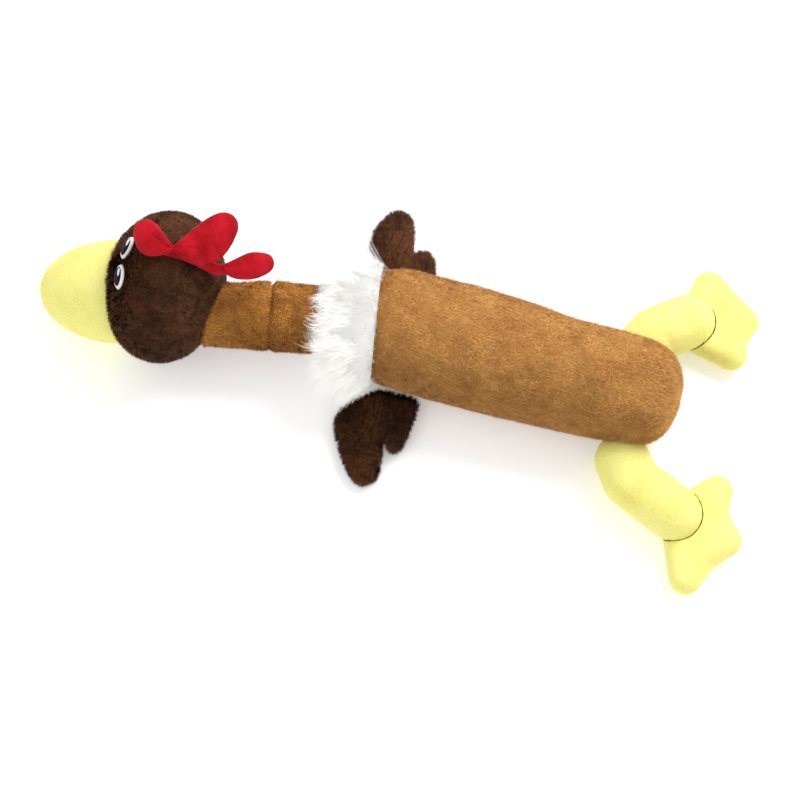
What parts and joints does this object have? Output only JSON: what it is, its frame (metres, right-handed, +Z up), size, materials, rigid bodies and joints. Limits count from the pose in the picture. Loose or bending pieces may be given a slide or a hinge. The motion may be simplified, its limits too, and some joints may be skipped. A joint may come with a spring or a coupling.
{
  "type": "stuffed plush chicken toy",
  "caption": "Long plush chicken toy with stuffed body, neck, head, comb, fur collar, two wings, two legs with three-toed feet, and a squeaker inside.",
  "frame": {"origin": "near the middle of the flat patch under the belly, on the surface the toy lies on", "axes": "+Z up; +X along the body from the head towards the feet; the toy's left side is -Y"},
  "size_m": [0.5775, 0.2644, 0.1404],
  "materials": {
    "tan_plush": "matte",
    "brown_plush": "matte",
    "yellow_velboa": "matte",
    "comb_red": "matte",
    "white_fur": "matte",
    "collar_cloth": "matte",
    "fibre_filling": "matte",
    "eye_white": "satin",
    "eye_black": "satin",
    "squeaker_plastic": "satin",
    "reed_brass": "satin"
  },
  "bodies": {
    "torso": {"body_cover": "tan_plush", "body_stuffing": "fibre_filling", "squeaker_base": "squeaker_plastic", "squeaker_reed": "reed_brass", "squeaker_bellows": "squeaker_plastic"},
    "squeaker_button": {"squeaker_cap": "squeaker_plastic"},
    "neck_rear": {"collar_backing": "collar_cloth", "collar_fur": "white_fur", "neck_rear_cover": "tan_plush", "neck_rear_stuffing": "fibre_filling"},
    "neck_front": {"neck_front_cover": "tan_plush", "neck_front_stuffing": "fibre_filling"},
    "head": {"head_cover": "brown_plush", "head_stuffing": "fibre_filling", "beak_cover": "yellow_velboa", "beak_stuffing": "fibre_filling", "comb_cover": "comb_red", "comb_stuffing": "fibre_filling", "left_eye_white": "eye_white", "left_eye_pupil": "eye_black", "left_eye_glint": "eye_white", "right_eye_white": "eye_white", "right_eye_pupil": "eye_black", "right_eye_glint": "eye_white"},
    "left_wing": {"left_wing_cover": "brown_plush", "left_wing_stuffing": "fibre_filling"},
    "left_leg": {"left_leg_cover": "yellow_velboa", "left_leg_stuffing": "fibre_filling"},
    "left_foot": {"left_foot_cover": "yellow_velboa", "left_foot_stuffing": "fibre_filling"},
    "right_wing": {"right_wing_cover": "brown_plush", "right_wing_stuffing": "fibre_filling"},
    "right_leg": {"right_leg_cover": "yellow_velboa", "right_leg_stuffing": "fibre_filling"},
    "right_foot": {"right_foot_cover": "yellow_velboa", "right_foot_stuffing": "fibre_filling"}
  },
  "joints": [
    {"name": "neck_lift", "type": "hinge", "parent": "torso", "child": "neck_rear", "pos_m": [-0.1038, 0.0085, 0.044], "axis": [-0.1288, 0.9917, 0], "range_deg": [-5, 22]},
    {"name": "neck_bend", "type": "hinge", "parent": "neck_rear", "child": "neck_front", "pos_m": [-0.20445, -0.00457, 0.047], "axis": [0, 0, 1], "range_deg": [-22, 22]},
    {"name": "head_nod", "type": "hinge", "parent": "neck_front", "child": "head", "pos_m": [-0.24715, -0.01522, 0.05], "axis": [0, 1, 0], "range_deg": [-18, 18]},
    {"name": "left_wing_flap", "type": "hinge", "parent": "torso", "child": "left_wing", "pos_m": [-0.0975, -0.04037, 0.0085], "axis": [-1, 0, 0], "range_deg": [-60, 40]},
    {"name": "left_hip", "type": "hinge", "parent": "torso", "child": "left_leg", "pos_m": [0.086, -0.0505, 0.0222], "axis": [0, 0, 1], "range_deg": [-30, 8]},
    {"name": "left_ankle", "type": "hinge", "parent": "left_leg", "child": "left_foot", "pos_m": [0.13234, -0.08261, 0.0222], "axis": [-0.2079, -0.9781, 0], "range_deg": [-20, 20]},
    {"name": "right_wing_flap", "type": "hinge", "parent": "torso", "child": "right_wing", "pos_m": [-0.0975, 0.05737, 0.0085], "axis": [1, 0, 0], "range_deg": [-60, 40]},
    {"name": "right_hip", "type": "hinge", "parent": "torso", "child": "right_leg", "pos_m": [0.0845, 0.0445, 0.0222], "axis": [0, 0, 1], "range_deg": [-8, 30]},
    {"name": "right_ankle", "type": "hinge", "parent": "right_leg", "child": "right_foot", "pos_m": [0.11444, 0.07268, 0.0222], "axis": [0.2756, -0.9613, 0], "range_deg": [-20, 20]},
    {"name": "squeaker_press", "type": "slide", "parent": "torso", "child": "squeaker_button", "axis": [0, 0, -1], "range_m": [0, 0.01], "stiffness_N_per_m": 400, "deforming": ["squeaker_bellows"]}
  ]
}
